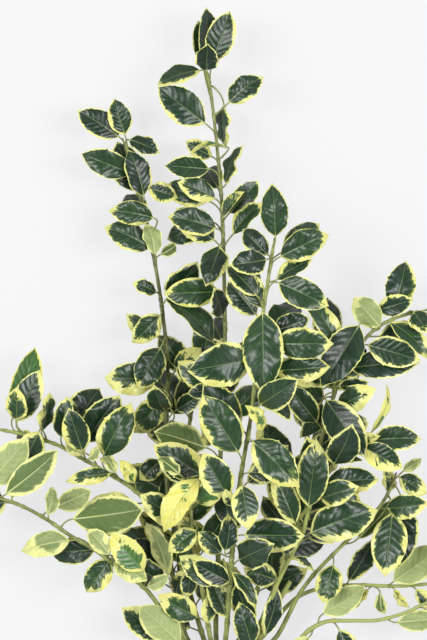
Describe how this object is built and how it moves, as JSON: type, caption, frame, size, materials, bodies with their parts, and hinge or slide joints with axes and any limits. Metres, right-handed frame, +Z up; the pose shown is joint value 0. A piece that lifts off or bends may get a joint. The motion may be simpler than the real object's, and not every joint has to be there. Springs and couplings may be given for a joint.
{
  "type": "holly sprig",
  "caption": "Bunch of cut variegated holly sprigs, tied round the stems with raffia and lying flat, for a vase, wreath or table arrangement.",
  "frame": {"origin": "middle of the bunch's own box, on the surface that it lies on", "axes": "+Y from the cut ends to the tips of the stems, +Z up from the surface, +X across the bunch"},
  "size_m": [0.5398, 0.7682, 0.1568],
  "materials": {
    "leaf": "glossy dark green blade with a jagged cream margin, paler and matte underneath",
    "bark": "smooth green young bark, darker and browner on old wood",
    "raffia": "dry twisted plant fibre"
  },
  "bodies": {
    "root": {"centre_front_leaf_01": "leaf", "centre_front_leaf_02": "leaf", "centre_front_leaf_03": "leaf", "centre_front_leaf_04": "leaf", "centre_front_leaf_05": "leaf", "centre_front_leaf_06": "leaf", "centre_front_leaf_07": "leaf", "centre_front_leaf_08": "leaf", "centre_front_stem": "bark", "centre_low_leaf_01": "leaf", "centre_low_stem": "bark", "centre_tall_leaf_01": "leaf", "centre_tall_leaf_02": "leaf", "centre_tall_leaf_03": "leaf", "centre_tall_leaf_04": "leaf", "centre_tall_leaf_05": "leaf", "centre_tall_leaf_06": "leaf", "centre_tall_leaf_07": "leaf", "centre_tall_stem": "bark", "cut_stub_stem": "bark", "left_back_stem": "bark", "left_front_leaf_01": "leaf", "left_front_leaf_02": "leaf", "left_front_leaf_03": "leaf", "left_front_leaf_04": "leaf", "left_front_leaf_05": "leaf", "left_front_stem": "bark", "left_middle_leaf_01": "leaf", "left_middle_leaf_02": "leaf", "left_middle_leaf_03": "leaf", "left_middle_leaf_04": "leaf", "left_middle_stem": "bark", "left_tall_leaf_01": "leaf", "left_tall_leaf_02": "leaf", "left_tall_leaf_03": "leaf", "left_tall_leaf_04": "leaf", "left_tall_leaf_05": "leaf", "left_tall_stem": "bark", "raffia_tie": "raffia", "right_back_stem": "bark", "right_dark_leaf_01": "leaf", "right_dark_leaf_02": "leaf", "right_dark_leaf_03": "leaf", "right_dark_stem": "bark", "right_high_leaf_01": "leaf", "right_high_leaf_02": "leaf", "right_high_leaf_03": "leaf", "right_high_leaf_04": "leaf", "right_high_stem": "bark", "right_low_leaf_01": "leaf", "right_low_stem": "bark", "right_lowest_leaf_01": "leaf", "right_lowest_leaf_02": "leaf", "right_lowest_stem": "bark", "right_middle_leaf_01": "leaf", "right_middle_leaf_02": "leaf", "right_middle_leaf_03": "leaf", "right_middle_leaf_04": "leaf", "right_middle_leaf_05": "leaf", "right_middle_stem": "bark"}
  },
  "joints": []
}
